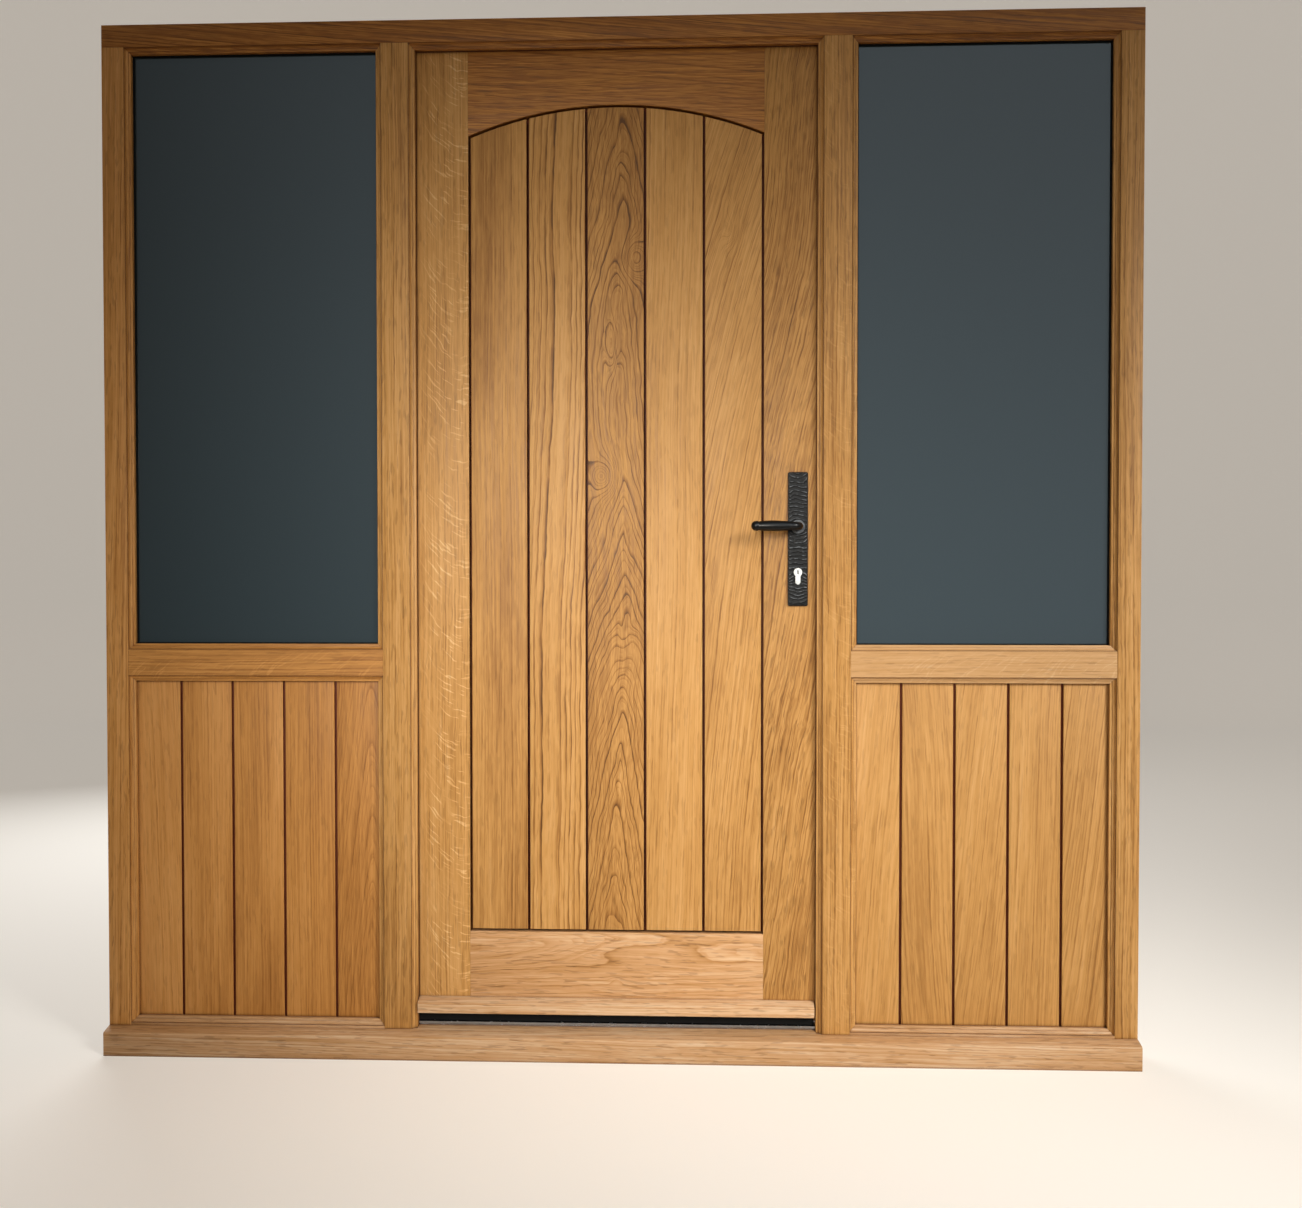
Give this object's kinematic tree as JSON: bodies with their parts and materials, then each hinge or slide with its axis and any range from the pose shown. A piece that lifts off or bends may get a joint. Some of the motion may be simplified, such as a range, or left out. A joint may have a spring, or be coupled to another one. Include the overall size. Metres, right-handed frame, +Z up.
{
  "type": "panelled front door with side lights",
  "caption": "Oak entrance doorset: a boarded leaf under an arched rail, between side lights of glass over boarded panels, on an oak sill.",
  "frame": {"origin": "middle of the sill's underside, in the plane of the frame's outside face", "axes": "+X to the right seen from outside, +Y into the house, +Z up"},
  "size_m": [2.093, 0.1734, 2.1],
  "materials": {
    "frame_oak": "clear satin oil",
    "panel_oak": "clear satin oil",
    "leaf_oak": "clear satin oil",
    "board_oak": "clear satin oil",
    "glass": "clear",
    "spacer_metal": "satin",
    "black_seal": "matt",
    "threshold_metal": "mill",
    "black_iron": "black, hammered plates and smooth levers",
    "nickel": "bright nickel plate",
    "lock_steel": "satin",
    "hinge_steel": "satin"
  },
  "bodies": {
    "frame": {"sill": "frame_oak", "head": "frame_oak", "left_jamb": "frame_oak", "left_mullion": "frame_oak", "left_mid_rail": "frame_oak", "left_glass_bead": "frame_oak", "left_panel_bead": "frame_oak", "right_jamb": "frame_oak", "right_mullion": "frame_oak", "right_mid_rail": "frame_oak", "right_glass_bead": "frame_oak", "right_panel_bead": "frame_oak", "left_board_1": "panel_oak", "left_board_2": "panel_oak", "left_board_3": "panel_oak", "left_board_4": "panel_oak", "left_board_5": "panel_oak", "right_board_1": "panel_oak", "right_board_2": "panel_oak", "right_board_3": "panel_oak", "right_board_4": "panel_oak", "right_board_5": "panel_oak", "left_outer_pane": "glass", "left_inner_pane": "glass", "right_outer_pane": "glass", "right_inner_pane": "glass", "left_spacer": "spacer_metal", "right_spacer": "spacer_metal", "glazing_seals": "black_seal", "door_seal": "black_seal", "threshold_bar": "threshold_metal", "strike_plate": "lock_steel", "lower_frame_hinge": "hinge_steel", "middle_frame_hinge": "hinge_steel", "upper_frame_hinge": "hinge_steel"},
    "leaf": {"hinge_stile": "leaf_oak", "lock_stile": "leaf_oak", "top_rail": "leaf_oak", "bottom_rail": "leaf_oak", "leaf_board_1": "board_oak", "leaf_board_2": "board_oak", "leaf_board_3": "board_oak", "leaf_board_4": "board_oak", "leaf_board_5": "board_oak", "weatherboard": "leaf_oak", "bottom_seal": "black_seal", "lock_case": "lock_steel", "outer_backplate": "black_iron", "inner_backplate": "black_iron", "cylinder_body": "nickel", "lower_leaf_hinge": "hinge_steel", "middle_leaf_hinge": "hinge_steel", "upper_leaf_hinge": "hinge_steel"},
    "levers": {"outer_lever": "black_iron", "spindle": "lock_steel", "inner_lever": "black_iron"},
    "latch": {"latch_bolt": "lock_steel"},
    "cylinder": {"cylinder_plug": "nickel", "thumbturn": "nickel"},
    "bolt": {"deadbolt": "lock_steel"}
  },
  "joints": [
    {"name": "leaf_swing", "type": "hinge", "parent": "frame", "child": "leaf", "pos_m": [-0.4205, 0.0825, 1.065], "axis": [0, 0, 1], "range_deg": [0, 110]},
    {"name": "lever_turn", "type": "hinge", "parent": "leaf", "child": "levers", "pos_m": [0.3685, 0.048, 1.08], "axis": [0, -1, 0], "range_deg": [0, 35], "stiffness_Nm_per_rad": 2, "springref_deg": -17.19},
    {"name": "latch_slide", "type": "slide", "parent": "leaf", "child": "latch", "axis": [1, 0, 0], "range_m": [-0.011, 0]},
    {"name": "cylinder_turn", "type": "hinge", "parent": "leaf", "child": "cylinder", "pos_m": [0.3685, 0.048, 0.988], "axis": [0, -1, 0], "range_deg": [0, 360]},
    {"name": "deadbolt_slide", "type": "slide", "parent": "leaf", "child": "bolt", "axis": [1, 0, 0], "range_m": [0, 0.02]}
  ],
  "couplings": [
    {"joint": "latch_slide", "follows": "lever_turn", "m_per_rad": -0.018},
    {"joint": "cylinder_turn", "follows": "deadbolt_slide", "rad_per_m": 314}
  ]
}
